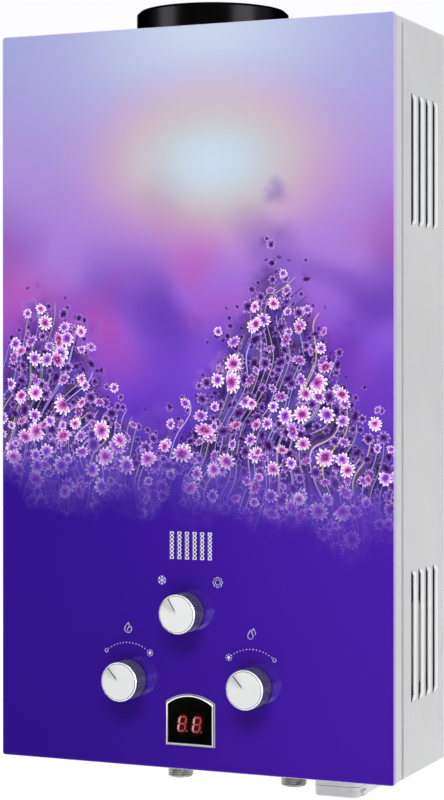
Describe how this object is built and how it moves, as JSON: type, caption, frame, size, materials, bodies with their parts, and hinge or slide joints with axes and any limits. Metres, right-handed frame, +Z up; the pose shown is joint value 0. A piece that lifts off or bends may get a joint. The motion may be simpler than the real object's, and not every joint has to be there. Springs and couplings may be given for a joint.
{
  "type": "gas water heater",
  "caption": "Wall-hung flued gas water heater with printed glass front, knobs, temperature display, flue collar, pipe stubs and battery bay.",
  "frame": {"origin": "centre of the back plate's rear face, on the wall", "axes": "+Y into the wall, +Z up, +X to the right as seen from the room"},
  "size_m": [0.34, 0.1458, 0.6258],
  "materials": {
    "printed_glass": "tempered glass, printed on its back, glossy front",
    "foam_tape": "black foam tape, matte",
    "white_enamel": "white powder coat, satin",
    "galvanised_steel": "galvanised sheet, dull",
    "black_enamel": "black heat-proof paint, satin",
    "copper": "bare copper, slightly tarnished",
    "stainless_sheet": "stainless sheet, heat-tinted",
    "gas_aluminium": "die-cast aluminium, blasted",
    "valve_brass": "turned and forged brass",
    "plated_steel": "zinc-nickel plate, dull bright",
    "solenoid_steel": "zinc-plated yoke",
    "black_rubber": "moulded rubber",
    "bright_steel": "bright steel",
    "switch_plastic": "black thermoset plastic",
    "igniter_plastic": "ivory plastic",
    "white_ceramic": "glazed alumina",
    "thermostat_metal": "aluminium cap",
    "lead_sleeve": "silicone-sleeved leads",
    "mesh_steel": "perforated stainless sheet",
    "bright_chrome": "chrome-plated plastic",
    "satin_cap": "satin disc",
    "smoked_lens": "smoked clear lens",
    "led_block": "red digit block",
    "circuit_board": "green circuit board",
    "white_plastic": "moulded white plastic",
    "cell_jacket": "cell jacket, plain"
  },
  "bodies": {
    "heater": {"back_plate": "galvanised_steel", "base_plate": "galvanised_steel", "battery_box": "white_plastic", "battery_cells": "cell_jacket", "battery_contacts": "bright_steel", "bonding_tape": "foam_tape", "burner_blades": "stainless_sheet", "burner_tray": "stainless_sheet", "casing_screws": "bright_steel", "casing_shell": "white_enamel", "chamber_coil": "copper", "cold_inlet_stub": "plated_steel", "cold_pipe": "copper", "combustion_chamber": "copper", "diaphragm": "black_rubber", "disc_thermostats": "thermostat_metal", "display_bezel": "bright_chrome", "display_board": "circuit_board", "display_digits": "led_block", "display_housing": "switch_plastic", "display_lens": "smoked_lens", "draft_hood": "galvanised_steel", "drain_plug": "valve_brass", "exchanger_tubes": "copper", "fin_block": "copper", "flame_sensor": "white_ceramic", "flue_collar": "black_enamel", "front_frame": "white_enamel", "gas_inlet_stub": "plated_steel", "gas_manifold": "gas_aluminium", "gas_nozzles": "valve_brass", "gas_valve_body": "gas_aluminium", "gland_nuts": "valve_brass", "glass_panel": "printed_glass", "hot_outlet_stub": "plated_steel", "hot_pipe": "copper", "igniter_box": "igniter_plastic", "microswitch": "switch_plastic", "pipe_nuts": "valve_brass", "season_valve_body": "gas_aluminium", "sight_mesh": "mesh_steel", "solenoid_valve": "solenoid_steel", "spark_electrode": "white_ceramic", "water_valve_body": "valve_brass", "water_valve_cover": "valve_brass", "wiring_harness": "lead_sleeve"},
    "gas_control": {"gas_knob": "bright_chrome", "gas_knob_cap": "satin_cap", "gas_spindle": "valve_brass"},
    "water_control": {"water_knob": "bright_chrome", "water_knob_cap": "satin_cap", "water_spindle": "valve_brass"},
    "season_control": {"season_knob": "bright_chrome", "season_knob_cap": "satin_cap", "season_spindle": "valve_brass"},
    "battery_door": {"battery_lid": "white_plastic", "lid_contact": "bright_steel"},
    "pressure_rod": {"push_rod": "bright_steel", "rod_spring": "bright_steel"},
    "start_lever": {"switch_lever": "bright_steel"}
  },
  "joints": [
    {"name": "gas_knob_turn", "type": "hinge", "parent": "heater", "child": "gas_control", "pos_m": [-0.054, -0.126, -0.226], "axis": [0, 1, 0], "range_deg": [0, 83]},
    {"name": "water_knob_turn", "type": "hinge", "parent": "heater", "child": "water_control", "pos_m": [0.054, -0.126, -0.226], "axis": [0, 1, 0], "range_deg": [0, 83]},
    {"name": "season_knob_turn", "type": "hinge", "parent": "heater", "child": "season_control", "pos_m": [-0.0035, -0.126, -0.17], "axis": [0, 1, 0], "range_deg": [-9, 80]},
    {"name": "battery_lid_swing", "type": "hinge", "parent": "heater", "child": "battery_door", "pos_m": [0.1124, -0.0225, -0.3037], "axis": [1, 0, 0], "range_deg": [0, 95]},
    {"name": "push_rod_slide", "type": "slide", "parent": "heater", "child": "pressure_rod", "axis": [-1, 0, 0], "range_m": [0, 0.004], "stiffness_N_per_m": 400, "springref_m": -0.003, "deforming": ["rod_spring"]},
    {"name": "switch_lever_turn", "type": "hinge", "parent": "heater", "child": "start_lever", "pos_m": [0.0072, -0.0676, -0.232], "axis": [0, 1, 0], "range_deg": [0, 22]}
  ],
  "couplings": [
    {"joint": "switch_lever_turn", "follows": "push_rod_slide", "rad_per_m": 95}
  ]
}
